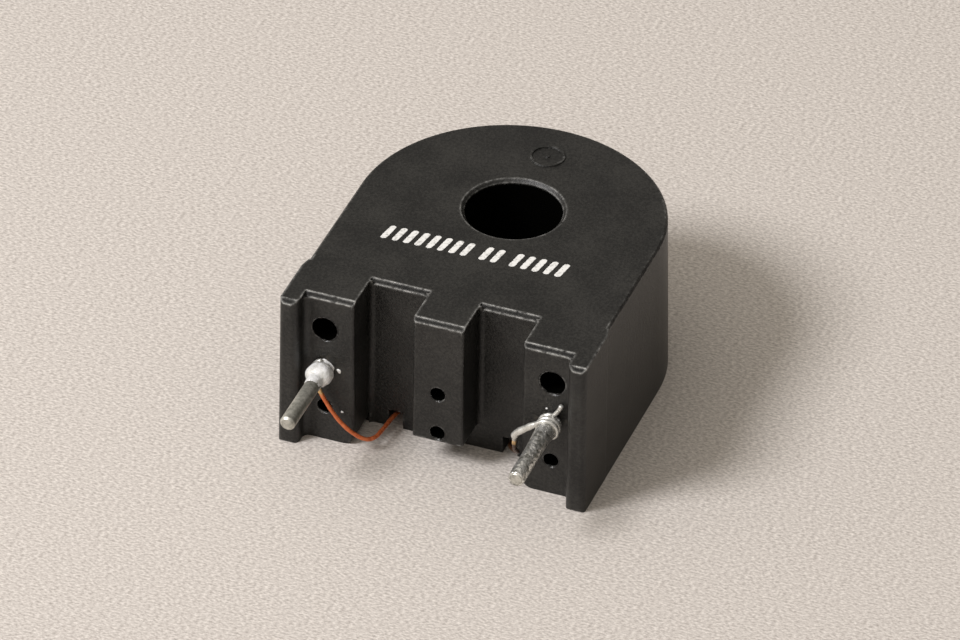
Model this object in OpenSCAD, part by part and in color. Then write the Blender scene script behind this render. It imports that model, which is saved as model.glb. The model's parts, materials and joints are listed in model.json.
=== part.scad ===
// Current transformer for a printed circuit board. A wound ring core is potted in a
// D-shaped moulded housing; the primary conductor goes through the bore, and the
// winding's two ends are brought out over the rim to terminal pins on the flat front.
// Frame: the origin is on the bore's axis, in the plane of the rim that the housing
// rests on. +Z runs up the bore to the closed face, and the pins point along -Y.

/* [Housing] */
// Width over the side walls at the closed face
body_w = 20.06; // [18:0.01:26]
// Height along the bore
body_h = 11.1; // [10:0.05:16]
// Distance that the round end's centre lies in front of the bore's axis
arc_shift = 0.67; // [0:0.01:1.2]
// Distance from the bore's axis to the terminal pads
pad_reach = 13.3; // [12:0.05:17]
// Extra half width at the rim, from the mould's draft
draft = 0.3; // [0:0.01:0.5]
// Thickness of the side walls
wall_t = 1; // [0.8:0.05:1.4]
// Thickness of the closed face
roof_t = 1; // [0.8:0.05:1.6]
// Chamfer along the closed face's outer edge
rim_chamfer = 0.14; // [0:0.01:0.3]
// Chamfer along the closed face's front edges
front_chamfer = 0.27; // [0.1:0.01:0.5]

/* [Side noses] */
// Distance that the noses stand in front of the pads
nose_reach = 1.25; // [0.5:0.05:2.5]
// Thickness of each nose
nose_t = 1.24; // [1.2:0.02:1.6]
// Height of the noses' outer faces above the side walls, at the closed face
nose_proud = 0.19; // [0.02:0.01:0.4]
// Extra half width over the noses at the rim
nose_lean = 0.12; // [0:0.01:0.3]
// Length of each nose, from its tip to the ramp that blends it into the side wall
nose_len = 3.9; // [3:0.05:7]
// Length of the ramp
nose_ramp = 0.8; // [0.3:0.05:1.5]
// Radius of the nose tip's outer edge
nose_outer_r = 0.36; // [0.1:0.01:0.5]
// Radius of the nose tip's inner edge
nose_inner_r = 0.5; // [0.1:0.01:0.6]
// Radius of the nose's heel at the rim
nose_heel_r = 0.2; // [0.1:0.05:1.5]
// Radius of the fillet between a nose and its pad
nose_fillet_r = 0.45; // [0.1:0.05:0.5]

/* [Front] */
// Distance between the two columns of terminal holes
terminal_pitch = 15.24; // [14:0.01:17]
// Distance between the rows of holes
row_pitch = 3; // [2.54:0.01:4]
// Width of the middle post
post_w = 3.4; // [2.5:0.05:4.5]
// Gap between the post's foot and the rim plane
post_lift = 1.95; // [1:0.05:2]
// Width of each groove beside the post
groove_w = 3.95; // [3:0.05:4.3]
// Depth of the grooves, from the pads
groove_d = 2.8; // [2:0.05:3.2]
// Radius of the grooves' inner corners
groove_r = 0.4; // [0.1:0.05:1]
// Wall between a groove and the potting
web_t = 1.2; // [0.8:0.05:1.6]
// Radius of the pads' and post's upright edges
upright_r = 0.18; // [0.05:0.01:0.3]
// Radius of each pad's corner at the rim
pad_corner_r = 0.8; // [0.3:0.05:1.5]
// Diameter of the upper holes
upper_hole_d = 1.7; // [1.2:0.05:2]
// Depth of the upper and the spare holes
hole_depth = 3; // [2:0.05:3.4]

/* [Bore] */
// Diameter of the bore
bore_d = 6.3; // [5:0.05:7]
// Wall of the tube round the bore
tube_t = 0.85; // [0.6:0.05:1.2]
// Chamfer at the bore's mouth in the closed face
bore_chamfer = 0.22; // [0.1:0.01:0.4]

/* [Terminal pins] */
// Diameter of the pins' free ends, and of the spare holes
pin_d = 1; // [0.8:0.05:1.2]
// How much wider than that the pressed-in shank is
shank_grip = 0.04; // [0:0.01:0.1]
// Length of the shank in front of the pads
shank_out = 0.75; // [0.4:0.05:1.2]
// Length of the taper between the shank and the free end
shank_taper = 0.6; // [0.3:0.05:1]
// Length of the pins in front of the pads
pin_out = 6.4; // [4:0.05:9]
// Length of the pins pressed into the housing
pin_in = 3.4; // [2.5:0.05:3.6]
// Chamfer at the pins' ends
pin_tip = 0.14; // [0.05:0.01:0.3]

/* [Ring core and winding] */
// Gap between the taped ring and the tube or the housing
ring_gap = 0.2; // [0.1:0.05:0.5]
// Height of the taped ring
ring_h = 7.8; // [5:0.05:8.2]
// Thickness of the outer tape
tape_t = 0.1; // [0.05:0.01:0.2]
// Thickness of the copper winding
winding_t = 0.65; // [0.3:0.05:0.9]
// Thickness of the tape between the core and the winding
core_tape_t = 0.12; // [0.05:0.01:0.25]

/* [Potting] */
// Depth of the potting's surface under the rim
pot_recess = 1.4; // [1.3:0.05:2]

/* [Leads] */
// Diameter of the winding wire
wire_d = 0.28; // [0.2:0.01:0.35]
// Width of the notches that let the leads over the rim
notch_w = 1; // [0.6:0.05:1.4]
// Height of the notches
notch_h = 1.25; // [0.8:0.05:1.3]
// Height of the wire in the notches
notch_wire_z = 0.75; // [0.4:0.05:0.9]
// Turns of the left lead round its pin
turns_left = 1.3; // [1:0.05:2]
// Turns of the right lead round its pin
turns_right = 2.15; // [1.15:1:3.15]
// Advance of the lead along the pin in one turn
wrap_pitch = 0.36; // [0.35:0.01:0.5]

/* [Hidden] */
$fn = 96;
eps = 0.05;

half_top = body_w / 2;
half_rim = half_top + draft;
draft_angle = atan(draft / body_h);
nose_half = half_top + nose_proud;
nose_y = -(pad_reach + nose_reach);
pad_y = -pad_reach;
groove_y = pad_y + groove_d;
cavity_y = groove_y + web_t;
cavity_top = body_h - roof_t;
pad_x0 = post_w / 2 + groove_w;
pad_x1 = nose_half - nose_t;
terminal_x = terminal_pitch / 2;
row_z = body_h / 2 + 0.05;
spare_z = row_z - row_pitch;
upper_z = row_z + row_pitch;
tube_r = bore_d / 2 + tube_t;
shank_d = pin_d + shank_grip;
wrap_r = shank_d / 2 + wire_d / 2 + 0.01;

ring_r0 = tube_r + ring_gap;
ring_r1 = min(half_top - wall_t - arc_shift, -cavity_y) - ring_gap;
ring_z0 = cavity_top - ring_h;
winding_z0 = ring_z0 + tape_t;

lead_x = post_w / 2 + 0.55 * groove_w;
lead_r = ring_r1 - winding_t;
lead_y = sqrt(lead_r ^ 2 - lead_x ^ 2);
wrap_gap = 0.22;
wrap_steps = 14;
curve_steps = 5;
wire_sides = 8;

ball_r = 0.84;
ball_y = 0.82;
ball_neck = 0.62;
ball_foot = 0.1;
sleeve_r = 0.68;
sleeve_full = 1.3;
sleeve_len = 3;
sleeve_end = 0.02;

mark_y = 6.17;
mark_r = 1.15;
mark_line = 0.16;
mark_h = 0.08;

moulded = [0.09, 0.09, 0.095];
resin = [0.13, 0.12, 0.11];
tape_yellow = [0.85, 0.68, 0.2];
tape_clear = [0.75, 0.74, 0.68];
copper = [0.72, 0.33, 0.16];
strip_steel = [0.5, 0.51, 0.53];
tinned = [0.74, 0.74, 0.72];

// Half of a D-shaped block's section: half width r0 at z0, r1 at z1, chamfered at z1.
function half_section(z0, r0, z1, r1, chamfer) =
    [[0, z0], [r0, z0], [r1, z1 - chamfer], [r1 - chamfer, z1], [0, z1]];

// A D-shaped block: a half round end about arc_shift, and straight sides to y_front.
module d_block(z0, r0, z1, r1, chamfer, y_front) {
    section = half_section(z0, r0, z1, r1, chamfer);
    translate([0, -arc_shift, 0])
        rotate_extrude(angle = 180) polygon(section);
    translate([0, -arc_shift, 0])
        rotate([90, 0, 0])
            linear_extrude(-arc_shift - y_front)
                for (side = [0, 1])
                    mirror([side, 0, 0]) polygon(section);
}

// What a fillet of radius r takes off a square corner that lies at the origin, with
// the material in the first quadrant.
module corner_waste(r) {
    difference() {
        translate([-eps, -eps]) square(r + eps);
        translate([r, r]) circle(r);
    }
}

// The outer face of a nose, leaning outwards to the rim, with its tip edge rounded
// and a ramp at the back.
module nose_outside() {
    ramp_y = nose_y + nose_len;
    translate([nose_half, 0, body_h])
        rotate([0, -atan(nose_lean / body_h), 0])
            translate([-nose_half, 0, -body_h - 1])
                linear_extrude(body_h + 2)
                    difference() {
                        polygon([[0, nose_y], [nose_half, nose_y], [nose_half, ramp_y],
                            [nose_half - nose_proud, ramp_y + nose_ramp], [0, ramp_y + nose_ramp]]);
                        translate([nose_half, nose_y]) mirror([1, 0]) corner_waste(nose_outer_r);
                    }
}

// One side nose, on the +X side. Its inner face stands upright. Its side view has the
// front chamfer at the closed face and the heel's radius at the rim.
module nose() {
    intersection() {
        nose_outside();
        translate([0, 0, -1])
            linear_extrude(body_h + 2)
                difference() {
                    translate([pad_x1, nose_y]) square([nose_t + 1, -nose_y]);
                    translate([pad_x1, nose_y]) corner_waste(nose_inner_r);
                }
        rotate([90, 0, 90])
            linear_extrude(body_w)
                difference() {
                    polygon([[nose_y, 0], [0, 0], [0, body_h], [nose_y + front_chamfer, body_h],
                        [nose_y, body_h - front_chamfer]]);
                    translate([nose_y, 0]) corner_waste(nose_heel_r);
                }
    }
    linear_extrude(body_h - front_chamfer)
        translate([pad_x1, pad_y]) rotate(180) corner_waste(nose_fillet_r);
}

// A groove's plan, on the +X side, open to the front.
module groove_plan() {
    difference() {
        translate([post_w / 2, nose_y - 1]) square([groove_w, groove_y - nose_y + 1]);
        translate([post_w / 2, groove_y]) mirror([0, 1]) corner_waste(groove_r);
        translate([post_w / 2 + groove_w, groove_y]) mirror([1, 0]) mirror([0, 1]) corner_waste(groove_r);
    }
}

// The upright edges that a pad and the post turn to the groove, on the +X side.
module upright_waste() {
    translate([pad_x0, pad_y]) corner_waste(upright_r);
    translate([post_w / 2, pad_y]) mirror([1, 0]) corner_waste(upright_r);
}

// The chamfer along a front edge of the closed face, at y_edge from x0 to x1.
module edge_chamfer(x0, x1, y_edge) {
    translate([x0, y_edge, body_h])
        rotate([90, 0, 90])
            linear_extrude(x1 - x0)
                polygon([[-eps, -front_chamfer - eps], [front_chamfer + eps, eps], [-eps, eps]]);
}

// Half width inside the side walls at the height z.
function inner_half(z) = half_rim - wall_t - draft * z / body_h;

// The space inside the housing, round the tube, from the height z up.
module cavity(z) {
    difference() {
        d_block(z, inner_half(z), cavity_top, inner_half(cavity_top), 0, cavity_y);
        translate([0, 0, z - 1]) cylinder(r = tube_r, h = body_h + 2);
    }
}

// The envelope of the taped ring, shrunk on every side by inset.
module ring(inset) {
    translate([0, 0, ring_z0 + inset])
        difference() {
            cylinder(r = ring_r1 - inset, h = ring_h - 2 * inset);
            translate([0, 0, -1]) cylinder(r = ring_r0 + inset, h = ring_h + 2);
        }
}

// A blind hole that starts in front of the pads and ends at the given depth.
module front_hole(x, z, d, depth) {
    translate([x, pad_y + depth, z])
        rotate([90, 0, 0])
            cylinder(d = d, h = depth + 1);
}

// The terminal holes of one side: an upper hole, the pin's hole and a spare one.
module terminal_holes(x) {
    front_hole(x, upper_z, upper_hole_d, hole_depth);
    front_hole(x, row_z, shank_d, pin_in);
    front_hole(x, spare_z, pin_d, hole_depth);
}

// The bore, with a chamfer at its mouth in the closed face.
module bore() {
    wide = bore_d / 2 + bore_chamfer + eps;
    translate([0, 0, -1]) cylinder(d = bore_d, h = body_h + 2);
    translate([0, 0, body_h - bore_chamfer]) cylinder(r1 = bore_d / 2, r2 = wide, h = bore_chamfer + eps);
}

// A ring and a dot raised on the closed face, the sign for a current that comes
// towards the reader: the primary conductor's positive direction.
module polarity_mark() {
    translate([0, mark_y, body_h - mark_h]) {
        difference() {
            cylinder(r = mark_r, h = 2 * mark_h);
            translate([0, 0, -1]) cylinder(r = mark_r - mark_line, h = 2);
        }
        cylinder(r = mark_line, h = 2 * mark_h);
    }
}

// What is cut from the front on the +X side: the groove, the edges round it, the
// chamfers at the closed face and the notch for the lead.
module front_waste() {
    translate([0, 0, -1])
        linear_extrude(body_h + 2) {
            groove_plan();
            upright_waste();
        }
    translate([pad_x0, groove_y, 0])
        rotate([90, 0, 0])
            linear_extrude(groove_d + 1) corner_waste(pad_corner_r);
    edge_chamfer(pad_x0 - eps, pad_x1, pad_y);
    edge_chamfer(post_w / 2, pad_x0, groove_y);
    edge_chamfer(-eps, post_w / 2 + eps, pad_y);
    translate([lead_x - notch_w / 2, groove_y - eps, -1]) cube([notch_w, web_t + 2 * eps, notch_h + 1]);
}

// The moulded housing: a D-shaped shell with the tube round the bore, two noses that
// stand on the board, two terminal pads, and a middle post between two deep grooves.
module housing() {
    color(moulded)
        difference() {
            union() {
                difference() {
                    union() {
                        d_block(0, half_rim, body_h, half_top, rim_chamfer, pad_y);
                        nose();
                        mirror([1, 0, 0]) nose();
                    }
                    cavity(-1);
                }
                polarity_mark();
            }
            bore();
            front_waste();
            mirror([1, 0, 0]) front_waste();
            terminal_holes(terminal_x);
            terminal_holes(-terminal_x);
            front_hole(0, row_z, pin_d, hole_depth);
            front_hole(0, spare_z, pin_d, hole_depth);
            translate([-post_w / 2 - groove_r, pad_y - 1, -1])
                cube([post_w + 2 * groove_r, groove_d + 1, post_lift + 1]);
        }
}

// The resin that fills the housing round the ring, down to its recessed surface.
module potting() {
    color(resin)
        difference() {
            cavity(pot_recess);
            ring(0);
            lead_stubs();
        }
}

// The two upright stretches where the leads leave the ring through the resin.
module lead_stubs() {
    for (side = [-1, 1])
        translate([side * lead_x, -lead_y, pot_recess - 1])
            cylinder(d = wire_d, h = winding_z0 - pot_recess + 1);
}

// The tape round the finished winding.
module outer_tape() {
    color(tape_yellow)
        difference() {
            ring(0);
            ring(tape_t);
            lead_stubs();
        }
}

// The secondary winding, taken as one solid band of copper round the core.
module winding() {
    color(copper)
        difference() {
            ring(tape_t);
            ring(tape_t + winding_t);
        }
}

// The tape that keeps the winding off the core's edges.
module core_tape() {
    color(tape_clear)
        difference() {
            ring(tape_t + winding_t);
            ring(tape_t + winding_t + core_tape_t);
        }
}

// The core: a strip of magnetic alloy wound into a ring.
module core() {
    color(strip_steel) ring(tape_t + winding_t + core_tape_t);
}

// A terminal pin, pressed into its pad. Its shank tapers to the free end, and both ends
// are chamfered.
module pin(x) {
    shank = pin_in + shank_out;
    length = pin_in + pin_out;
    color(tinned)
        translate([x, pad_y + pin_in, row_z])
            rotate([90, 0, 0])
                rotate_extrude()
                    polygon([[0, 0], [shank_d / 2 - pin_tip, 0], [shank_d / 2, pin_tip],
                        [shank_d / 2, shank], [pin_d / 2, shank + shank_taper],
                        [pin_d / 2, length - pin_tip], [pin_d / 2 - pin_tip, length], [0, length]]);
}

module pin_left() {
    pin(-terminal_x);
}

module pin_right() {
    pin(terminal_x);
}

// A point of a smooth curve between b and c, at the fraction t of the way.
function curve_point(a, b, c, d, t) =
    0.5 * (2 * b + (c - a) * t + (2 * a - 5 * b + 4 * c - d) * t ^ 2 + (3 * b - a - 3 * c + d) * t ^ 3);

// A smooth curve through a route. Its first and last points only set the direction.
function curve(route) = [
    for (i = [1:len(route) - 3])
        for (k = [0:curve_steps - 1])
            curve_point(route[i - 1], route[i], route[i + 1], route[i + 2], k / curve_steps)
];

// A point on the wire's turns round the pin at x.
function wrap_point(x, angle, y) = [x + wrap_r * cos(angle), y, row_z + wrap_r * sin(angle)];

// The turns of a wire round the pin at x, from the angle start towards the pad.
function wrap(x, start, turns) = [
    for (k = [0:ceil(turns * wrap_steps)])
        let (part = min(k / wrap_steps, turns))
            wrap_point(x, start - 360 * part, pad_y - wrap_gap - wrap_pitch * (turns - part))
];

// The stretch that both leads share, on one side: down out of the winding, over the
// rim through the notch and into the groove.
function rim_route(side) = [
    [side * lead_x, cavity_y + 2, pot_recess + 1],
    [side * lead_x, -lead_y, pot_recess],
    [side * lead_x, cavity_y + 2, notch_wire_z],
    [side * lead_x, cavity_y, notch_wire_z],
    [side * (lead_x + 0.1), groove_y - 0.3, notch_wire_z + 0.2]
];

// The left lead sags over the groove's mouth, crosses the pad and goes up to its pin
// from below.
left_wrap = wrap(-terminal_x, 205, turns_left);
left_route = concat(rim_route(-1), [
    [-pad_x0 + 1.55, pad_y + 1, 0.95],
    [-pad_x0 + 1.4, pad_y + 0.2, 0.93],
    [-pad_x0 + 0.97, pad_y - 0.3, 0.98],
    [-pad_x0 + 0.16, pad_y - 0.5, 1.38],
    [-pad_x0 - 0.8, pad_y - 0.55, 2.2],
    [-terminal_x + 0.25, pad_y - 0.6, row_z - 2.05],
    left_wrap[0],
    left_wrap[1]
]);
left_path = concat([[-lead_x, -lead_y, winding_z0]], curve(left_route), left_wrap);

// The right lead climbs the groove beside the pad, bends over its edge to the pin,
// and leaves its cut end standing up after the last turn.
right_wrap = wrap(terminal_x, 129, turns_right);
right_route = concat(rim_route(1), [
    [pad_x0 - 0.55, pad_y + 0.8, 1.95],
    [pad_x0 - 0.42, pad_y - 0.1, 2.9],
    [pad_x0 - 0.3, pad_y - 0.55, row_z - 1.8],
    [pad_x0 - 0.08, pad_y - 0.9, row_z - 0.88],
    [pad_x0 + 0.77, pad_y - 1, row_z - 0.07],
    right_wrap[0],
    right_wrap[1]
]);
right_last = right_wrap[len(right_wrap) - 1];
right_tail = [right_wrap[len(right_wrap) - 2], right_last, right_last + [0.4, 0, 0.6],
    right_last + [0.54, 0, 1], right_last + [0.6, 0, 1.3]];
right_path = concat([[lead_x, -lead_y, winding_z0]], curve(right_route), right_wrap,
    [for (i = [1:curve_steps * 2 - 1]) curve(right_tail)[i]]);

function unit(v) = v / norm(v);

// A unit vector at right angles to t, as near as can be to n.
function turned(n, t) = unit(n - (n * t) * t);

// A round wire along a path, closed at both ends. The section is carried from point
// to point without twist.
module wire(path) {
    last = len(path) - 1;
    along = [for (i = [0:last]) unit(path[min(i + 1, last)] - path[max(i - 1, 0)])];
    across = [
        for (i = 0, n = turned([1, 0.3, 0], along[0]); i <= last;
            n = turned(n, along[min(i + 1, last)]), i = i + 1) n
    ];
    points = [
        for (i = [0:last])
            for (k = [0:wire_sides - 1])
                let (angle = 360 * k / wire_sides)
                    path[i] + wire_d / 2 * (cos(angle) * across[i] + sin(angle) * cross(along[i], across[i]))
    ];
    sides = [
        for (i = [0:last - 1])
            for (k = [0:wire_sides - 1])
                let (a = i * wire_sides, next = (k + 1) % wire_sides)
                    [a + wire_sides + k, a + wire_sides + next, a + next, a + k]
    ];
    start_cap = [for (k = [0:wire_sides - 1]) k];
    end_cap = [for (k = [wire_sides - 1:-1:0]) last * wire_sides + k];
    polyhedron(points, concat([start_cap], sides, [end_cap]));
}

module lead_left() {
    color(copper) wire(left_path);
}

module lead_right() {
    color(tinned) wire(right_path);
}

// A body of solder round the pin at x. Its outline gives the radius and the distance
// from the pad.
module solder(x) {
    difference() {
        translate([x, pad_y, row_z])
            rotate([90, 0, 0])
                rotate_extrude() children();
        pin(x);
    }
}

// A ball of solder over the left lead's turns, with a foot that spreads on the pad.
module solder_left() {
    from = -acos(ball_neck / ball_r);
    to = acos(pin_d / 2 / ball_r);
    steps = 12;
    arc = [
        for (k = [0:steps])
            let (angle = from + (to - from) * k / steps)
                [ball_r * cos(angle), ball_y + ball_r * sin(angle)]
    ];
    color(tinned)
        difference() {
            solder(-terminal_x)
                polygon(concat([[0, 0], [ball_neck + ball_foot, 0]], arc, [[0, arc[steps][1]]]));
            wire(left_wrap);
        }
}

// A thin sleeve of solder that runs out along the right pin, over the lead's turns.
module solder_right() {
    color(tinned)
        difference() {
            solder(terminal_x)
                polygon([[0, 0], [sleeve_r + 0.08, 0], [sleeve_r, 0.15], [sleeve_r, sleeve_full],
                    [pin_d / 2 + sleeve_end, sleeve_len], [0, sleeve_len]]);
            wire(right_wrap);
        }
}

housing();
potting();
outer_tape();
winding();
core_tape();
core();
pin_left();
pin_right();
lead_left();
lead_right();
solder_left();
solder_right();
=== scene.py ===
import json
import bpy
import numpy as np
from mathutils import Matrix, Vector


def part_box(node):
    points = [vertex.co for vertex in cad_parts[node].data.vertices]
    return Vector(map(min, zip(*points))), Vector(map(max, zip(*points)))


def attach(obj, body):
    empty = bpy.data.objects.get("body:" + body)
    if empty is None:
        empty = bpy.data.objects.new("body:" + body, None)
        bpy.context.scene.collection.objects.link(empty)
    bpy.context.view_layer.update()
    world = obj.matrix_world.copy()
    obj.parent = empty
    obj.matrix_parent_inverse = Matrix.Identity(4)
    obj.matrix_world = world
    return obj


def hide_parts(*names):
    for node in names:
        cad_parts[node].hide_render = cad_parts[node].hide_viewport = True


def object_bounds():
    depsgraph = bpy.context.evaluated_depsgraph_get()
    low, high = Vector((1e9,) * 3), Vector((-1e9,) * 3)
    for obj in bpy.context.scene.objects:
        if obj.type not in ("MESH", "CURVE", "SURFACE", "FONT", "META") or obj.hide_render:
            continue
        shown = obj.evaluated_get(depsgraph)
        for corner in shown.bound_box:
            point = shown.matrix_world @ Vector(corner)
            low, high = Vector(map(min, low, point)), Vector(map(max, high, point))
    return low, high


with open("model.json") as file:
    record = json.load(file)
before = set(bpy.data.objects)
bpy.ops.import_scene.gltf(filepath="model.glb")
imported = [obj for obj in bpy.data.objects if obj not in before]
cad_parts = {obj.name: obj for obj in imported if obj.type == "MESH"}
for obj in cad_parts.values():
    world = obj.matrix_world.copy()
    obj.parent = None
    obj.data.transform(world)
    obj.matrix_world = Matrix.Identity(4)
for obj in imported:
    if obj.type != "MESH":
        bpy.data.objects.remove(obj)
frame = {"nodes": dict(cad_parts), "record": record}
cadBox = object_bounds()
scene = bpy.context.scene
scene.view_settings.view_transform = "Standard"
mm = 0.001
print("frame loaded:", len(frame["nodes"]), "nodes")

# Places that the looks need, in metres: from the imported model, plus three sizes of its housing
moulding = {
    "markRise": 0.08 * mm,      # of the ring mark over the closed face, the housing's highest
    "noseReach": 1.25 * mm,     # of the noses' faces in front of the pads
    "frontDepth": 4 * mm,       # from the pads back to the cavity
}
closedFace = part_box("housing")[1].z - moulding["markRise"]
mounts = {mount["name"]: mount for mount in frame["record"]["mounts"]}
pinX = mounts["pin_right_end"]["pos_m"][0]
pinZ = mounts["pin_right_end"]["pos_m"][2]
rowPitch = mounts["upper_hole_right"]["pos_m"][2] - pinZ
boreRadius = mounts["bore"]["dims"]["r_mm"] * mm
padY = mounts["board_face"]["pos_m"][1] + moulding["noseReach"]
cavityY = padY + moulding["frontDepth"]

# Angles in degrees: azimuth from straight in front of the pins towards the right
cameraView = {
    "azimuth": 19.94,
    "elevation": 36.52,
    "roll": 1.115,
    "distance": 0.5148,     # from the frame's origin
    "lens": 300.2,
    "shift": (-0.0323, 0.0302),
}


def direction(azimuth, elevation):
    # the unit vector towards a place given by its azimuth and elevation
    a, e = np.radians([azimuth, elevation])
    return np.array([np.sin(a) * np.cos(e), -np.cos(a) * np.cos(e), np.sin(e)])


def placeCamera(view):
    back = direction(view["azimuth"], view["elevation"])
    roll = np.radians(view["roll"])
    level = np.cross(-back, (0, 0, 1))
    level /= np.linalg.norm(level)
    upright = np.cross(level, -back)
    right = np.cos(roll) * level + np.sin(roll) * upright
    up = np.cos(roll) * upright - np.sin(roll) * level
    camera = bpy.data.objects.new("camera", bpy.data.cameras.new("camera"))
    turn = Matrix(np.column_stack([right, up, back]).tolist()).to_4x4()
    camera.matrix_world = Matrix.Translation(back * view["distance"]) @ turn
    camera.data.lens = view["lens"]
    camera.data.shift_x, camera.data.shift_y = view["shift"]
    camera.data.clip_start = 0.01
    camera.data.clip_end = 20
    scene.collection.objects.link(camera)
    scene.camera = camera


placeCamera(cameraView)
print("camera placed")


def linear(hexColour):
    # sRGB hex to the linear colour that a shader takes
    values = np.array([int(hexColour[i:i + 2], 16) / 255 for i in (1, 3, 5)])
    values = np.where(values <= 0.04045, values / 12.92, ((values + 0.055) / 1.055) ** 2.4)
    return (*values.tolist(), 1)


def add(tree, kind, inputs=None, **settings):
    # adds a node with its settings; an input is a number, an output, or a whole node, whose
    # first live output is taken
    node = tree.nodes.new("ShaderNode" + kind)
    for name, value in settings.items():
        setattr(node, name, value)
    for name, value in (inputs or {}).items():
        if isinstance(value, bpy.types.Node):
            value = next(output for output in value.outputs if output.enabled)
        if isinstance(value, bpy.types.NodeSocket):
            tree.links.new(value, node.inputs[name])
        else:
            node.inputs[name].default_value = value
    return node


def newMaterial(name):
    material = bpy.data.materials.new(name)
    material.use_nodes = True
    tree = material.node_tree
    tree.nodes.clear()
    place = add(tree, "TexCoord").outputs["Object"]
    return material, tree, place


def finishMaterial(tree, inputs):
    shader = add(tree, "BsdfPrincipled", inputs)
    add(tree, "OutputMaterial", {"Surface": shader})


def near(tree, place, centre, radius, soft):
    # 1 within radius of a point, falling to 0 over the soft width beyond it
    gap = add(tree, "VectorMath", {0: place, 1: centre}, operation="DISTANCE")
    return add(tree, "MapRange", {"Value": gap, "From Min": radius + soft, "From Max": radius})


def dress(material, *names):
    for name in names:
        for slot in frame["nodes"][name].material_slots:
            slot.material = material


# Housing
mouldedPlastic = {
    "colour": ("#060605", "#292825"),
    "polishedColour": "#040403",
    "grainSize": 0.17 * mm,        # spark-eroded texture, drawn a little coarse so that it shows
    "grainDepth": 0.045 * mm,
    "patchSize": 2.6 * mm,
    "scuffSize": 0.42 * mm,
    "roughness": (0.33, 0.47),
    "chamferRoughness": 0.9,
    "polishedRoughness": 0.14,
    "edgeRound": 0.08 * mm,        # moulded edges are never quite sharp
    "wearAndHighlightWidth": 0.24 * mm,
    "hollowReach": 0.25 * mm,      # no wear where something stands nearer than this
    "frontEdge": (0.62 * mm, 0.5 * mm),     # under the closed face, where front wear and the painted highlight fade in
    "mouthEdge": 0.4 * mm,         # width of the bore's mouth, rubbed and painted with a light rim
    # the pale edge colour is partly wear and partly a painted highlight on the front edges and
    # round the bore's mouth
    "wearAndHighlightColour": "#dcdbd6",
    "wearAndHighlightOnChamfers": 0.85,
    "wearAndHighlightOnBore": 0.3,
    "wearOnUprights": 0.22,
    "largeHole": 0.92 * mm,        # radii that take in each hole's wall
    "smallHole": 0.57 * mm,
    "holeMiddle": 1.52 * mm,       # behind the pads
    "holeHalf": 1.55 * mm,
    "fluxColour": "#3b372f",
    "fluxSize": 0.55 * mm,
    "fluxReach": 0.7 * mm,
    "fluxFade": 0.9 * mm,
}


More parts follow.
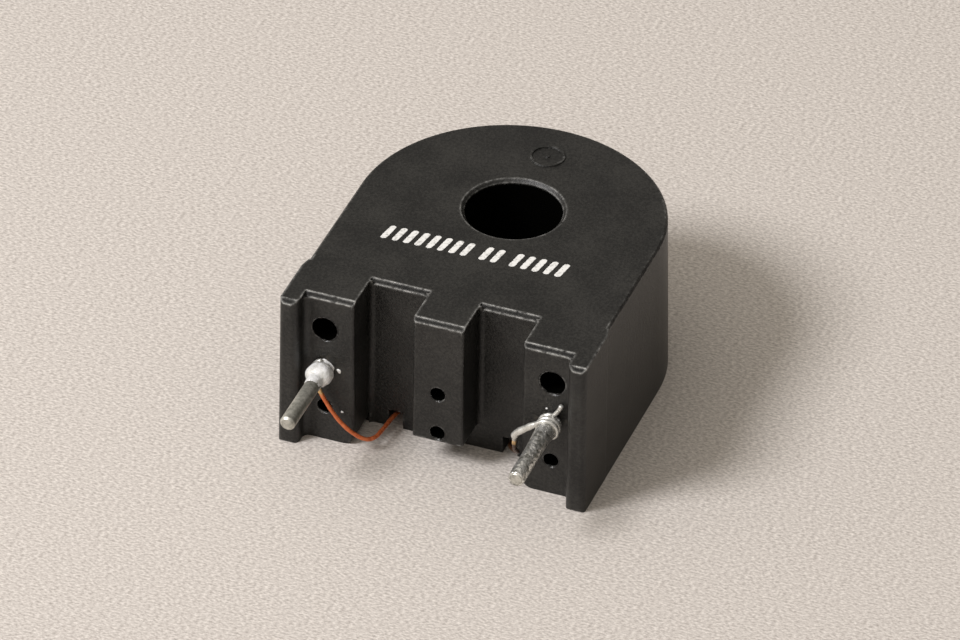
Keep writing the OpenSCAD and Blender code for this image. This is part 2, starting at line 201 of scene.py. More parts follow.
def makeMouldedPlastic(look):
    # black glass-filled polyester with a spark-eroded surface: near black, matt and finely
    # speckled, paler where edges have rubbed and where a highlight is painted along the front
    # edges, glossy in the holes that polished pins cored out
    material, tree, place = newMaterial("black moulded polyester, spark-eroded")
    fine = add(tree, "TexNoise", {"Vector": place, "Scale": 1 / look["grainSize"], "Detail": 4,
                                  "Roughness": 0.65})
    patches = add(tree, "TexNoise", {"Vector": place, "Scale": 1 / look["patchSize"], "Detail": 3})
    scuffs = add(tree, "TexNoise", {"Vector": place, "Scale": 1 / look["scuffSize"], "Detail": 5,
                                    "Roughness": 0.7})
    uneven = add(tree, "Math", {0: patches, 1: 0.5, 2: fine}, operation="MULTIPLY_ADD")
    speck = add(tree, "MapRange", {"Value": uneven, "From Min": 0.62, "From Max": 0.92})
    base = add(tree, "Mix", {0: speck, 6: linear(look["colour"][0]), 7: linear(look["colour"][1])},
               data_type="RGBA")

    # edges: where the rounded normal leaves the flat one, apart from hollow corners
    trueNormal = add(tree, "NewGeometry").outputs["True Normal"]
    rounded = add(tree, "Bevel", {"Radius": look["edgeRound"]}, samples=8)
    wide = add(tree, "Bevel", {"Radius": look["wearAndHighlightWidth"]}, samples=8)
    match = add(tree, "VectorMath", {0: wide, 1: trueNormal}, operation="DOT_PRODUCT")
    bend = add(tree, "MapRange", {"Value": match, "From Min": 0.994, "From Max": 0.955})
    clearance = add(tree, "AmbientOcclusion", {"Distance": look["hollowReach"]},
                    samples=6).outputs["AO"]
    outer = add(tree, "MapRange", {"Value": clearance, "From Min": 0.80, "From Max": 0.96})
    edge = add(tree, "Math", {0: bend, 1: outer}, operation="MULTIPLY")

    # the closed face's front edges are rubbed bright and painted with a highlight, most where they
    # run from side to side;
    # all other edges are only speckled
    split = add(tree, "SeparateXYZ", {0: place}).outputs
    high = add(tree, "MapRange", {"Value": split[2], "From Min": closedFace - look["frontEdge"][0],
                                  "From Max": closedFace - look["frontEdge"][1]})
    front = add(tree, "MapRange", {"Value": split[1], "From Min": cavityY + 0.2 * mm,
                                   "From Max": cavityY})
    chamfer = add(tree, "Math", {0: high, 1: front}, operation="MULTIPLY")
    sideways = add(tree, "Math", {0: add(tree, "SeparateXYZ", {0: wide}).outputs[0]},
                   operation="ABSOLUTE")
    crosswise = add(tree, "MapRange", {"Value": sideways, "From Min": 0.3, "From Max": 0.15,
                                       "To Min": 0.25})
    lines = add(tree, "Math", {0: chamfer, 1: crosswise}, operation="MULTIPLY")
    # the bore's mouth is rubbed a little too, and a painted highlight rings it
    plan = add(tree, "CombineXYZ", {0: split[0], 1: split[1]})
    mouth = near(tree, plan, (0, 0, 0), boreRadius + look["mouthEdge"], 0.05 * mm)
    mouth = add(tree, "Math", {0: mouth, 1: high}, operation="MULTIPLY")
    mouth = add(tree, "Math", {0: mouth, 1: look["wearAndHighlightOnBore"]}, operation="MULTIPLY")
    lines = add(tree, "Math", {0: lines, 1: mouth}, operation="MAXIMUM")
    broken = add(tree, "MapRange", {"Value": scuffs, "From Min": 0.34, "From Max": 0.60})
    speckle = add(tree, "MapRange", {"Value": scuffs, "From Min": 0.50, "From Max": 0.68})
    rubbedAndHighlighted = add(tree, "Math", {0: broken, 1: look["wearAndHighlightOnChamfers"]}, operation="MULTIPLY")
    dotted = add(tree, "Math", {0: speckle, 1: look["wearOnUprights"]}, operation="MULTIPLY")
    amount = add(tree, "Mix", {0: lines, 2: dotted, 3: rubbedAndHighlighted})
    wearAndHighlight = add(tree, "Math", {0: edge, 1: amount}, operation="MULTIPLY", use_clamp=True)

    # polished walls: the bore, and the holes as far as they go behind the pads
    bore = near(tree, plan, (0, 0, 0), boreRadius + 0.02 * mm, 0.01 * mm)
    belowTop = add(tree, "Math", {0: split[2], 1: closedFace - 0.3 * mm}, operation="LESS_THAN")
    polished = add(tree, "Math", {0: bore, 1: belowTop}, operation="MULTIPLY")
    upright = add(tree, "CombineXYZ", {0: split[0], 2: split[2]})
    inside = add(tree, "Math", {0: split[1], 1: padY + look["holeMiddle"], 2: look["holeHalf"]},
                 operation="COMPARE")
    for x, row in [(-pinX, -1), (-pinX, 1), (pinX, -1), (pinX, 1), (0, 0), (0, -1)]:
        radius = look["largeHole"] if row == 1 else look["smallHole"]
        hole = near(tree, upright, (x, 0, pinZ + row * rowPitch), radius, 0.03 * mm)
        deep = add(tree, "Math", {0: hole, 1: inside}, operation="MULTIPLY")
        polished = add(tree, "Math", {0: polished, 1: deep}, operation="MAXIMUM")

    # old flux stains the pads round the pins
    stains = add(tree, "TexNoise", {"Vector": place, "Scale": 1 / look["fluxSize"], "Detail": 4})
    stained = add(tree, "MapRange", {"Value": stains, "From Min": 0.52, "From Max": 0.70})
    for side in (-1, 1):
        around = near(tree, place, (side * pinX, padY, pinZ), look["fluxReach"], look["fluxFade"])
        flux = add(tree, "Math", {0: around, 1: stained}, operation="MULTIPLY")
        base = add(tree, "Mix", {0: flux, 6: base, 7: linear(look["fluxColour"])},
                   data_type="RGBA")

    base = add(tree, "Mix", {0: polished, 6: base, 7: linear(look["polishedColour"])},
               data_type="RGBA")
    # pale edge colour: wear, plus a painted highlight along the front edges and the bore's mouth
    colour = add(tree, "Mix", {0: wearAndHighlight, 6: base, 7: linear(look["wearAndHighlightColour"])}, data_type="RGBA")
    rough = add(tree, "Mix", {0: fine, 2: look["roughness"][0], 3: look["roughness"][1]})
    # the front chamfers' flats are duller
    facing = add(tree, "SeparateXYZ", {0: trueNormal}).outputs[2]
    tilted = add(tree, "Math", {0: facing, 1: 0.707, 2: 0.15}, operation="COMPARE")
    dull = add(tree, "Math", {0: tilted, 1: chamfer}, operation="MULTIPLY")
    rough = add(tree, "Mix", {0: dull, 2: rough, 3: look["chamferRoughness"]})
    roughness = add(tree, "Mix", {0: polished, 2: rough, 3: look["polishedRoughness"]})
    flatness = add(tree, "Math", {0: scuffs, 1: 0.6, 2: fine}, operation="MULTIPLY_ADD")
    calm = add(tree, "Math", {0: 1, 1: polished}, operation="SUBTRACT")
    height = add(tree, "Math", {0: flatness, 1: calm}, operation="MULTIPLY")
    bump = add(tree, "Bump", {"Height": height, "Distance": look["grainDepth"], "Strength": 1,
                              "Normal": rounded})
    finishMaterial(tree, {"Base Color": colour, "Roughness": roughness, "Normal": bump, "IOR": 1.5})
    return material


dress(makeMouldedPlastic(mouldedPlastic), "housing")
print("housing dressed")


# Pins
drawnPin = {
    "colours": ("#98978e", "#d2d0c7"),
    "lineWidth": 0.05 * mm,
    "lineDepth": 0.006 * mm,
    "patchSize": 0.5 * mm,
    "metallic": 0.8,
    "roughness": (0.35, 0.55),
    "edgeRound": 0.05 * mm,
}


def makePinMetal(look):
    # tinned copper-clad steel wire, drawn and cropped: grey, dull, with fine lengthwise lines
    material, tree, place = newMaterial("tinned wire, drawn")
    stretched = add(tree, "VectorMath", {0: place, 1: (1, 0.06, 1)}, operation="MULTIPLY")
    lines = add(tree, "TexNoise", {"Vector": stretched, "Scale": 1 / look["lineWidth"],
                                   "Detail": 3})
    dull = add(tree, "TexNoise", {"Vector": place, "Scale": 1 / look["patchSize"], "Detail": 5,
                                  "Roughness": 0.7})
    patch = add(tree, "MapRange", {"Value": dull, "From Min": 0.38, "From Max": 0.62})
    colour = add(tree, "Mix", {0: patch, 6: linear(look["colours"][0]),
                               7: linear(look["colours"][1])}, data_type="RGBA")
    rough = add(tree, "MapRange", {"Value": dull, "From Min": 0.3, "From Max": 0.7,
                                   "To Min": look["roughness"][1], "To Max": look["roughness"][0]})
    rounded = add(tree, "Bevel", {"Radius": look["edgeRound"]}, samples=6)
    bump = add(tree, "Bump", {"Height": lines, "Distance": look["lineDepth"], "Normal": rounded})
    finishMaterial(tree, {"Base Color": colour, "Metallic": look["metallic"], "Roughness": rough,
                          "Normal": bump})
    return material


dress(makePinMetal(drawnPin), "pin_left", "pin_right")
print("pins dressed")


def closedShells(name, shells, material, replaced=None, values=None):
    # one mesh of closed surfaces: each shell is rings of points, every ring joined to the next,
    # with a point in the middle of both ends; the sign of the volume turns its faces outwards;
    # values gives each ring its number in the attribute fromPin
    points, faces, marks = [], [], []
    start = 0
    for number, rings in enumerate(shells):
        count, sides = rings.shape[:2]
        shell = np.concatenate([rings.reshape(-1, 3), rings[:1].mean(1), rings[-1:].mean(1)])
        ring, side = np.meshgrid(np.arange(count - 1), np.arange(sides), indexing="ij")
        here = ring * sides + side
        beside = ring * sides + (side + 1) % sides
        quads = np.stack([here, beside, beside + sides, here + sides], -1).reshape(-1, 4)
        edge = np.arange(sides)
        following = (edge + 1) % sides
        lastRing = (count - 1) * sides
        first, last = np.full(sides, count * sides), np.full(sides, count * sides + 1)
        ends = np.concatenate([np.stack([first, following, edge], -1),
                               np.stack([last, edge + lastRing, following + lastRing], -1)])
        triangles = np.concatenate([quads[:, [0, 1, 2]], quads[:, [0, 2, 3]], ends])
        corner = shell[triangles]
        if np.sum(corner[:, 0] * np.cross(corner[:, 1], corner[:, 2])) < 0:
            quads, ends = quads[:, ::-1], ends[:, ::-1]
        points.append(shell)
        faces += (quads + start).tolist() + (ends + start).tolist()
        start += len(shell)
        if values is not None:
            ringValue = values[number]
            marks.append(np.concatenate([np.repeat(ringValue, sides), ringValue[[0, -1]]]))
    mesh = bpy.data.meshes.new(name)
    mesh.from_pydata(np.concatenate(points).tolist(), [], faces)
    mesh.shade_smooth()
    if values is not None:
        attribute = mesh.attributes.new("fromPin", "FLOAT", "POINT")
        attribute.data.foreach_set("value", np.concatenate(marks))
    mesh.materials.append(material)
    piece = bpy.data.objects.new(name, mesh)
    scene.collection.objects.link(piece)
    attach(piece, "root")
    if replaced:
        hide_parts(replaced)


def smoothCurve(route, steps):
    # cubic pieces through the route, each leaving and arriving along the line between its
    # neighbours; the route's first and last points only set the direction
    route = np.asarray(route, float)
    a, b, c, d = (route[i:len(route) - 3 + i, None] for i in range(4))
    t = np.linspace(0, 1, steps, endpoint=False)[None, :, None]
    points = 2 * b + (c - a) * t + (2 * a - 5 * b + 4 * c - d) * t ** 2
    points = (points + (3 * b - a - 3 * c + d) * t ** 3) / 2
    return points.reshape(-1, 3)


def sweep(path, radii, sides=16):
    # a round section carried along a path: each point is the path's own, plus the radius times
    # the cosine and sine of its angle along two directions that follow the path untwisted
    forward = np.gradient(path, axis=0)
    forward /= np.linalg.norm(forward, axis=1, keepdims=True)
    across = np.empty_like(forward)
    guide = np.array([1, 0.3, 0])
    for i, ahead in enumerate(forward):
        guide = guide - guide @ ahead * ahead
        guide /= np.linalg.norm(guide)
        across[i] = guide
    angle = np.linspace(0, 2 * np.pi, sides, endpoint=False)[None, :, None]
    section = np.cos(angle) * across[:, None] + np.sin(angle) * np.cross(forward, across)[:, None]
    return path[:, None] + radii[:, None, None] * section


# Leads, in mm: the winding's two ends, over the rim and round the pins
padFront, pinSide, pinRow = padY / mm, pinX / mm, pinZ / mm
leadLook = {
    "turnRadius": 0.67,
    "turnPitch": 0.36,
    "turnPoints": 28,
    "firstTurn": 0.22,           # in front of the pad
    "leftStart": 205,            # degrees round the pin, where the wire meets it
    "leftTurns": 1.3,
    "rightStart": 129,
    "rightTurns": 2.15,
    "leadX": 3.8725,             # of the notch in the rim, from the middle
    "windingY": -6.4345,         # where the wire leaves the winding
    "cavityY": -9.3,
    "grooveY": -10.5,
    "padEdge": 5.65,
    "enamel": ("#a33c18", "#ee8a54"),
    "burntEnamel": "#d8b27a",
    # the right lead's enamel, painted dark to stand for the shade it lies in down the groove
    "enamelInPaintedShade": ("#2a1a10", "#5a3a22"),
    "tin": ("#b9b7b0", "#f2f1ec"),
}


def turnsRoundPin(side, start, turns):
    # a helix round the pin: the angle falls from start as the wire comes back to the pad
    look = leadLook
    part = np.arange(np.ceil(turns * look["turnPoints"]) + 1) / look["turnPoints"]
    part = np.minimum(part, turns)
    angle = np.radians(start - 360 * part)
    radius = look["turnRadius"]
    away = look["firstTurn"] + look["turnPitch"] * (turns - part)
    return np.column_stack([side * pinSide + radius * np.cos(angle), padFront - away,
                            pinRow + radius * np.sin(angle)])


def overRim(side):
    # down out of the winding, through the notch in the rim and into the groove
    look = leadLook
    x = side * look["leadX"]
    inside = look["cavityY"] + 2
    return [(x, inside, 2.4), (x, look["windingY"], 1.4), (x, inside, 0.75),
            (x, look["cavityY"], 0.75), (x + side * 0.1, look["grooveY"] - 0.3, 0.95)]


def makeLead(side, free, start, turns, tail, thickness, material, name):
    # free is the hand-laid stretch between the groove and the pin, and tail the steps of the cut
    # end from the last turn; thickness gives the wire's radius against the distance from its
    # first touch of the pin, and two small waves make it uneven; returns the wire's length
    wrapped = turnsRoundPin(side, start, turns)
    stretch = smoothCurve(overRim(side) + free + [wrapped[0], wrapped[2]], 10)
    first = [(side * leadLook["leadX"], leadLook["windingY"], 2.4)]
    path = np.concatenate([first, stretch, wrapped])
    if tail:
        last = wrapped[-1]
        end = smoothCurve([wrapped[-3], last] + [last + np.array(step) for step in tail], 8)
        path = np.concatenate([path, end[1:]])
    length = np.concatenate([[0], np.cumsum(np.linalg.norm(np.diff(path, axis=0), axis=1))])
    fromPin = length - length[len(first) + len(stretch)]
    radii = np.interp(fromPin, *thickness)
    radii = radii * (1 + 0.05 * np.sin(7 * length) + 0.03 * np.sin(17 * length + 1))
    radii[[0, -1]] *= 0.6
    rings = sweep(path * mm, radii * mm)
    closedShells(name, [rings], material,
                 "lead_left" if side < 0 else "lead_right", [fromPin])
    return float(length[-1])


def makeWireMaterial(name, enamel, bareFrom, burntFrom):
    # enamelled copper wire: clear orange-brown varnish over copper, scorched pale where the
    # iron touched it, and bright solder-tinned metal beyond; both begin at a distance along the
    # wire, in mm, from its first touch of the pin
    material, tree, place = newMaterial(name)
    fromPin = add(tree, "Attribute", attribute_name="fromPin").outputs["Fac"]
    flow = add(tree, "TexNoise", {"Vector": place, "Scale": 1 / (0.35 * mm), "Detail": 4})
    shifted = add(tree, "Math", {0: flow, 1: 0.6, 2: fromPin}, operation="MULTIPLY_ADD")
    # varnish takes the enamel colours passed in; the right lead's are painted dark for shade
    varnish = add(tree, "Mix", {0: flow, 6: linear(enamel[0]), 7: linear(enamel[1])},
                  data_type="RGBA")
    scorched = add(tree, "MapRange", {"Value": shifted, "From Min": burntFrom,
                                      "From Max": burntFrom + 0.25})
    bare = add(tree, "MapRange", {"Value": shifted, "From Min": bareFrom,
                                  "From Max": bareFrom + 0.15})
    tin = add(tree, "Mix", {0: flow, 6: linear(leadLook["tin"][0]), 7: linear(leadLook["tin"][1])},
              data_type="RGBA")
    colour = add(tree, "Mix", {0: scorched, 6: varnish, 7: linear(leadLook["burntEnamel"])},
                 data_type="RGBA")
    colour = add(tree, "Mix", {0: bare, 6: colour, 7: tin}, data_type="RGBA")
    metal = add(tree, "MapRange", {"Value": bare, "To Min": 0.35, "To Max": 0.65})
    rough = add(tree, "MapRange", {"Value": flow, "From Min": 0.3, "From Max": 0.7,
                                   "To Min": 0.22, "To Max": 0.42})
    bump = add(tree, "Bump", {"Height": flow, "Distance": 0.03 * mm, "Strength": 0.6})
    finishMaterial(tree, {"Base Color": colour, "Metallic": metal, "Roughness": rough,
                          "Normal": bump})
    return material


padEdge = leadLook["padEdge"]
leftFree = [(-padEdge + 1.55, padFront + 1, 0.95), (-padEdge + 1.4, padFront + 0.2, 0.93),
            (-padEdge + 0.97, padFront - 0.3, 0.98), (-padEdge + 0.16, padFront - 0.5, 1.38),
            (-padEdge - 0.8, padFront - 0.55, 2.2),
            (-pinSide + 0.25, padFront - 0.6, pinRow - 2.05)]
rightFree = [(padEdge - 0.55, padFront + 0.8, 1.95), (padEdge - 0.42, padFront - 0.1, 2.9),
             (padEdge - 0.3, padFront - 0.55, pinRow - 1.8),
             (padEdge - 0.08, padFront - 0.9, pinRow - 0.88),
             (padEdge + 0.77, padFront - 1, pinRow - 0.07)]
rightTail = [(0.4, 0, 0.6), (0.54, 0, 1), (0.6, 0, 1.3)]
leftThickness = ([-9, -1.5, -0.9, -0.5, 3], [0.14, 0.14, 0.19, 0.17, 0.14])
rightThickness = ([-9, -2.7, -2.4, -0.9, 0, 20], [0.13, 0.14, 0.23, 0.22, 0.15, 0.15])
copperWire = makeWireMaterial("enamelled copper wire", leadLook["enamel"], -0.75, -1.25)
# the right lead: tinned near the pin, and its enamel beyond painted dark as shade
tinnedWire = makeWireMaterial("copper wire, dip-tinned", leadLook["enamelInPaintedShade"], -2.7, -3.1)
leftLength = makeLead(-1, leftFree, leadLook["leftStart"], leadLook["leftTurns"], [],
                      leftThickness, copperWire, "leftLead")
rightLength = makeLead(1, rightFree, leadLook["rightStart"], leadLook["rightTurns"], rightTail,
                       rightThickness, tinnedWire, "rightLead")
print("leads laid:", round(leftLength, 1), "and", round(rightLength, 1), "mm")

# Solder, in mm: distances are from the pad, angles run round the pin
solderLook = {
    "bright": ("#dcdbd5", "#ffffff"),
    "brightMetallic": 0.2,
    "mottled": ("#7f7e76", "#f4f3ee"),
    "mottledMetallic": 0.85,
    "lumpSize": 0.35 * mm,
    "roughness": (0.22, 0.42),
    "ball": {"radius": 0.83, "middle": 0.86, "foot": 0.6, "end": 2.2},
    "sleeve": {"radius": 0.69, "turns": 1.25, "thin": 0.525, "end": 6.33},
}


def makeSolderMetal(name, look, colours, metallic):
    # tin-lead solder, hand-fed: bright and silvery, with dull crystalline patches
    material, tree, place = newMaterial(name)
    lumps = add(tree, "TexNoise", {"Vector": place, "Scale": 1 / look["lumpSize"], "Detail": 5,
                                   "Roughness": 0.6})
    crystals = add(tree, "TexVoronoi", {"Vector": place, "Scale": 1 / (0.16 * mm)})
    patch = add(tree, "MapRange", {"Value": lumps, "From Min": 0.36, "From Max": 0.58})
    colour = add(tree, "Mix", {0: patch, 6: linear(colours[0]), 7: linear(colours[1])},
                 data_type="RGBA")
    rough = add(tree, "MapRange", {"Value": lumps, "From Min": 0.35, "From Max": 0.65,
                                   "To Min": look["roughness"][1], "To Max": look["roughness"][0]})
    both = add(tree, "Math", {0: crystals.outputs["Distance"], 1: 0.35, 2: lumps},
               operation="MULTIPLY_ADD")
    bump = add(tree, "Bump", {"Height": both, "Distance": 0.05 * mm, "Strength": 0.8})
    finishMaterial(tree, {"Base Color": colour, "Metallic": metallic, "Roughness": rough,
                          "Normal": bump})
    return material


def solderGrid(end, steps=120, sides=96):
    # distances from the pad down the first axis, angles round the pin along the second
    away = np.concatenate([[-0.02], np.linspace(0, end, steps), [end + 0.01]])[:, None]
    angle = np.linspace(0, 2 * np.pi, sides, endpoint=False)[None, :]
    return away, angle


def roundPin(side, away, angle, radius):
    # the place of each point from its distance, angle and radius; both ends dip into the pin
    radius = radius.copy()
    radius[[0, -1]] = 0.4
    x = side * pinSide + radius * np.cos(angle)
    z = pinRow + radius * np.sin(angle)
    return np.stack([x, np.broadcast_to(padFront - away, x.shape), z], -1) * mm


def ballRings(look):
    # radius: the eighth root of the summed eighth powers, so about the largest, of a slightly
    # oval ball with a lobe to the upper left, a foot that spreads on the pad, and a tongue that
    # thins along the pin
    away, angle = solderGrid(look["end"])
    lobes = 1 + 0.07 * np.cos(angle - 2.2) ** 3 + 0.06 * np.cos(2 * angle - 0.4)
    lobes = lobes + 0.03 * np.sin(3 * angle + 5 * away)
    ball = np.sqrt(np.maximum(look["radius"] ** 2 - (away - look["middle"]) ** 2, 0)) * lobes
    foot = look["foot"] * np.exp(-away / 0.5) * (1 + 0.08 * np.sin(5 * angle))
    reach = 1.75 + 0.35 * np.cos(angle - 2.4)
    tongue = 0.5 + 0.07 / (1 + np.exp((away - reach) / 0.13))
    radius = (ball ** 8 + foot ** 8 + tongue ** 8) ** 0.125
    return roundPin(-1, away, angle, radius * (1 + 0.012 * np.sin(9 * angle - 7 * away)))


def sleeveRings(look):
    # radius: thick over the turns, then thinning to a skin on the pin, plus a screw-like ridge
    # over the turns, a run of solder beyond them, and waves at three sizes
    away, angle = solderGrid(look["end"], 260)
    thick = (look["radius"] - look["thin"]) / (1 + np.exp((away - look["turns"]) / 0.22))
    winding = np.cos(2 * np.pi * (away - leadLook["firstTurn"]) / leadLook["turnPitch"] + angle)
    ridge = 0.035 * winding / (1 + np.exp((away - look["turns"]) / 0.1))
    run = 0.07 * np.exp(-((away - 1.9) / 0.75) ** 2) * (0.5 + 0.5 * np.cos(angle - 2.5))
    waves = 0.014 * np.sin(3 * angle + 2.3 * away) * np.sin(1.7 * away + angle)
    waves = waves + 0.010 * np.sin(5 * angle - 6.1 * away) + 0.006 * np.sin(11 * away + 9 * angle)
    return roundPin(1, away, angle, look["thin"] + thick + ridge + run + np.abs(waves))


def fleckRings(centre, size, seed):
    # a squashed ball whose radius has two waves and three smaller ones round it
    rng = np.random.default_rng(seed)
    rise = np.linspace(0.02, np.pi - 0.02, 14)[:, None]
    turn = np.linspace(0, 2 * np.pi, 20, endpoint=False)[None, :]
    wave = 1 + 0.2 * np.sin(2 * turn + rng.uniform(0, 6)) * np.sin(rise)
    wave = wave + 0.12 * np.sin(3 * turn + rng.uniform(0, 6)) * np.sin(rise)
    offset = np.stack([wave * np.sin(rise) * np.cos(turn), 0.5 * np.cos(rise) * np.ones_like(turn),
                       wave * np.sin(rise) * np.sin(turn)], -1)
    return (np.array(centre) + size * offset) * mm


brightSolder = makeSolderMetal("tin-lead solder, frozen bright", solderLook,
                               solderLook["bright"], solderLook["brightMetallic"])
thinSolder = makeSolderMetal("tin-lead solder, thin and mottled", solderLook,
                             solderLook["mottled"], solderLook["mottledMetallic"])
closedShells("leftSolder", [ballRings(solderLook["ball"])], brightSolder, "solder_left")
closedShells("rightSolder", [sleeveRings(solderLook["sleeve"])], thinSolder,
             "solder_right")
# each fleck's middle, size and seed
flecks = [((-pinSide + 0.98, padFront - 0.02, pinRow), 0.15, 1),
          ((-pinSide + 1.2, padFront - 0.02, pinRow - 3.15), 0.08, 2),
          ((pinSide - 0.35, padFront - 0.02, pinRow + 0.95), 0.07, 3)]
closedShells("solderFlecks", [fleckRings(*fleck) for fleck in flecks], brightSolder)
print("solder made")

# Marking, in mm: plain printed bars in three groups, along one line that rises a little
markingLook = {
    "start": (-6.45, -5.33),
    "slope": 0.9,                # degrees
    "height": 1.5,
    "lean": 0.18,                # of the height
    "thickness": 0.012,
    "sunk": 0.004,               # the ink's underside, below the closed face
    "barWidth": 0.42,
    "seed": 7,
    "pitch": 0.76,
    "groups": (8, 2, 5),
    "gap": 0.5,
    "colour": ("#b9b8b3", "#f3f2ee"),
}


def makeInk(look):
    # pad-printed epoxy ink: opaque white, greyer where it is thin
    material, tree, place = newMaterial("white pad-printed ink")
    mottle = add(tree, "TexNoise", {"Vector": place, "Scale": 1 / (0.16 * mm), "Detail": 4})
    solid = add(tree, "MapRange", {"Value": mottle, "From Min": 0.32, "From Max": 0.5})
    colour = add(tree, "Mix", {0: solid, 6: linear(look["colour"][0]),
                               7: linear(look["colour"][1])}, data_type="RGBA")
    bump = add(tree, "Bump", {"Height": mottle, "Distance": 0.008 * mm})
    finishMaterial(tree, {"Base Color": colour, "Roughness": 0.55, "Normal": bump})
    return material


def barRings(look, offset, rng):
    # a flat rounded section carried along the leaning bar, its width narrowing to nothing at
    # both ends and a little uneven between
    steps = np.linspace(-1, 1, 24)
    width = look["barWidth"] / 2 * (1 - steps ** 12) ** 0.5 * (1 + 0.05 * rng.normal(size=24))
    angle = np.linspace(0, 2 * np.pi, 16, endpoint=False)
    across = np.sign(np.cos(angle)) * np.abs(np.cos(angle)) ** 0.5
    rise = (np.sign(np.sin(angle)) * np.abs(np.sin(angle)) ** 0.5 + 1) / 2
    along = offset + steps[:, None] * look["height"] / 2 * look["lean"] + width[:, None] * across
    up = np.broadcast_to(steps[:, None] * look["height"] / 2, along.shape)
    slope = np.radians(look["slope"])
    x = look["start"][0] + along * np.cos(slope) - up * np.sin(slope)
    y = look["start"][1] + along * np.sin(slope) + up * np.cos(slope)
    layer = np.broadcast_to(rise * (look["thickness"] + look["sunk"]), x.shape)
    z = closedFace / mm - look["sunk"] + layer
    return np.stack([x, y, z], -1) * mm


rng = np.random.default_rng(markingLook["seed"])
offsets, offset = [], 0          # each bar's distance along the line
for group in markingLook["groups"]:
    offsets += [offset + markingLook["pitch"] * i for i in range(group)]
    offset = offsets[-1] + markingLook["pitch"] + markingLook["gap"]
closedShells("marking", [barRings(markingLook, offset, rng) for offset in offsets],
             makeInk(markingLook))
print("marking printed:", len(offsets), "bars")


# Underside and the sealed ring
def makeResin():
    # black potting epoxy, poured and cured: glossy, slightly wavy, with a few burst bubbles
    material, tree, place = newMaterial("black epoxy, cast")
    waves = add(tree, "TexNoise", {"Vector": place, "Scale": 1 / (5 * mm), "Detail": 2})
    cells = add(tree, "TexVoronoi", {"Vector": place, "Scale": 1 / (2.2 * mm)})
    bubble = add(tree, "MapRange", {"Value": cells.outputs["Distance"], "From Min": 0.05,
                                    "From Max": 0.16})
    tint = add(tree, "Mix", {0: waves, 6: linear("#0f0d0c"), 7: linear("#211c18")},
               data_type="RGBA")
    dust = add(tree, "TexNoise", {"Vector": place, "Scale": 1 / (0.12 * mm), "Detail": 4})
    rough = add(tree, "MapRange", {"Value": dust, "From Min": 0.4, "From Max": 0.7,
                                   "To Min": 0.14, "To Max": 0.4})
    height = add(tree, "Math", {0: waves, 1: 4.0, 2: bubble}, operation="MULTIPLY_ADD")
    bump = add(tree, "Bump", {"Height": height, "Distance": 0.06 * mm})
    finishMaterial(tree, {"Base Color": tint, "Roughness": rough, "Normal": bump, "IOR": 1.55})
    return material


def makeWound(name, colours, metallic, roughness, pitch, turned):
    # something wound on the ring: stripes round it, or spokes across it where it is turned
    material, tree, place = newMaterial(name)
    split = add(tree, "SeparateXYZ", {0: place}).outputs
    plan = add(tree, "CombineXYZ", {0: split[0], 1: split[1]})
    distance = add(tree, "VectorMath", {0: plan}, operation="LENGTH")
    angle = add(tree, "Math", {0: split[1], 1: split[0]}, operation="ARCTAN2")
    measure, step = (angle, pitch / ringMiddle) if turned else (distance, pitch)
    phase = add(tree, "Math", {0: measure, 1: 2 * np.pi / step}, operation="MULTIPLY")
    wave = add(tree, "Math", {0: phase}, operation="SINE")
    stripe = add(tree, "MapRange", {"Value": wave, "From Min": -1, "From Max": 1})
    uneven = add(tree, "TexNoise", {"Vector": place, "Scale": 1 / (1.2 * mm), "Detail": 4})
    shade = add(tree, "Math", {0: stripe, 1: uneven}, operation="MULTIPLY")
    colour = add(tree, "Mix", {0: shade, 6: linear(colours[0]), 7: linear(colours[1])},
                 data_type="RGBA")
    bump = add(tree, "Bump", {"Height": stripe, "Distance": pitch / 3})
    finishMaterial(tree, {"Base Color": colour, "Metallic": metallic, "Roughness": roughness,
                          "Normal": bump})
    return material


ringMiddle = 5.9 * mm            # the radius at which a turn takes up its pitch
# each layer's finish: name, colours, metallic, roughness, pitch, and whether it is turned
ringLayers = {
    "outer_tape": ("yellow polyester tape, lapped", ("#8a6a12", "#d8b234"), 0.0, 0.35,
                   0.9 * mm, True),
    "winding": ("enamelled copper wire, wound", ("#6e2a10", "#d27a44"), 0.7, 0.3,
                0.28 * mm, True),
    "core_tape": ("clear polyester tape, lapped", ("#a8a294", "#e6e0d0"), 0.0, 0.4,
                  0.9 * mm, True),
    "core": ("silicon steel strip, wound", ("#4b4d50", "#a9abad"), 1.0, 0.35,
             0.3 * mm, False),
}
dress(makeResin(), "potting")
for layer, finish in ringLayers.items():
    dress(makeWound(*finish), layer)
print("underside and ring dressed")

# Stage
stageLook = {
    "floor": ("#aba39c", "#eee7df"),
    "floorSize": 3.0,
    "fibreSize": 0.15 * mm,
}
keyLight = {
    "azimuth": -46,
    "elevation": 44,
    "distance": 0.6,
    "size": 0.20,
    "power": 3.0,
    "colour": "#fdfcff",
}
skyLook = {
    "colour": "#fbf4ea",
    "brightSide": (-0.55, -0.25, 0.8),
    "strength": (0.02, 0.78),
}


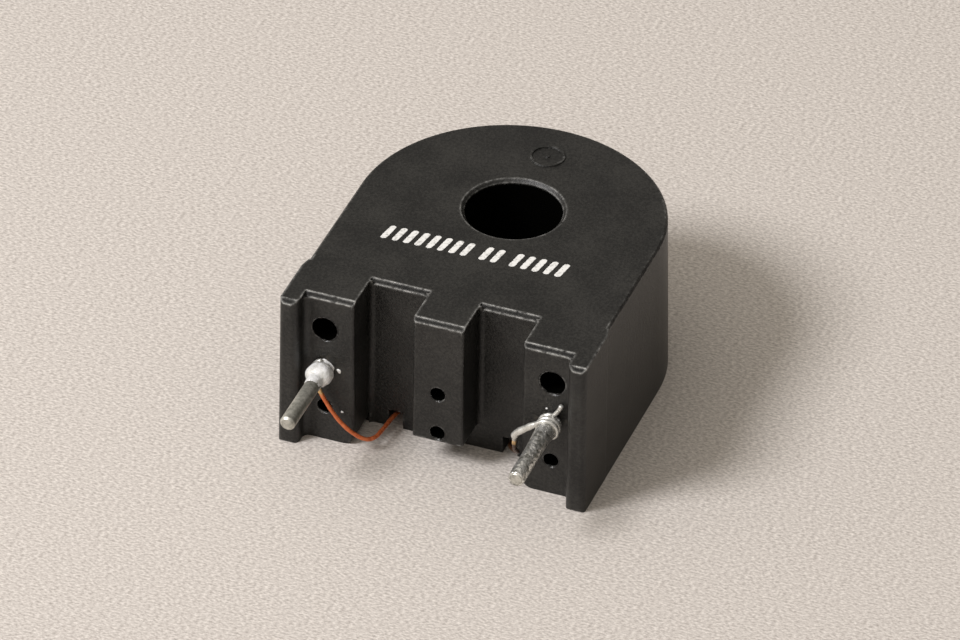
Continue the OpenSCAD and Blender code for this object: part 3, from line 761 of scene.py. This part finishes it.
def buildFloor(look):
    half = look["floorSize"] / 2
    corners = [(-half, -half, cadBox[0].z), (half, -half, cadBox[0].z),
               (half, half, cadBox[0].z), (-half, half, cadBox[0].z)]
    mesh = bpy.data.meshes.new("floor")
    mesh.from_pydata(corners, [], [(0, 1, 2, 3)])
    floor = bpy.data.objects.new("floor", mesh)
    scene.collection.objects.link(floor)
    # plain matt paper: pale, warm, with a short fibre speckle
    material, tree, place = newMaterial("pale matt paper")
    grainwise = add(tree, "VectorMath", {0: place, 1: (0.55, 1, 1)}, operation="MULTIPLY")
    fibre = add(tree, "TexNoise", {"Vector": grainwise, "Scale": 1 / look["fibreSize"], "Detail": 3,
                                   "Roughness": 0.6})
    shade = add(tree, "MapRange", {"Value": fibre, "From Min": 0.28, "From Max": 0.72})
    colour = add(tree, "Mix", {0: shade, 6: linear(look["floor"][0]), 7: linear(look["floor"][1])},
                 data_type="RGBA")
    finishMaterial(tree, {"Base Color": colour, "Roughness": 0.9, "Specular IOR Level": 0.2})
    mesh.materials.append(material)


def addLight(name, azimuth, elevation, distance, size, power, colour):
    # a soft box that faces the object
    away = direction(azimuth, elevation)
    lamp = bpy.data.lights.new(name, "AREA")
    lamp.shape = "DISK"
    lamp.size = size
    lamp.energy = power
    lamp.color = linear(colour)[:3]
    light = bpy.data.objects.new(name, lamp)
    sideways = np.cross((0, 0, 1), away)
    sideways /= np.linalg.norm(sideways)
    turn = Matrix(np.column_stack([sideways, np.cross(away, sideways), away]).tolist()).to_4x4()
    light.matrix_world = Matrix.Translation(away * distance) @ turn
    scene.collection.objects.link(light)


buildFloor(stageLook)
addLight("key softbox", **keyLight)

# the sky is brightest towards one side, and dims evenly away from it
world = bpy.data.worlds.new("studio")
world.use_nodes = True
sky = world.node_tree
towards = add(sky, "TexCoord").outputs["Generated"]
tilt = add(sky, "VectorMath", {0: towards, 1: skyLook["brightSide"]}, operation="DOT_PRODUCT")
glow = add(sky, "MapRange", {"Value": tilt, "From Min": -0.4, "From Max": 1.0,
                             "To Min": skyLook["strength"][0], "To Max": skyLook["strength"][1]})
sky.nodes["Background"].inputs[0].default_value = linear(skyLook["colour"])
sky.links.new(glow.outputs[0], sky.nodes["Background"].inputs[1])
scene.world = world
print("stage set")
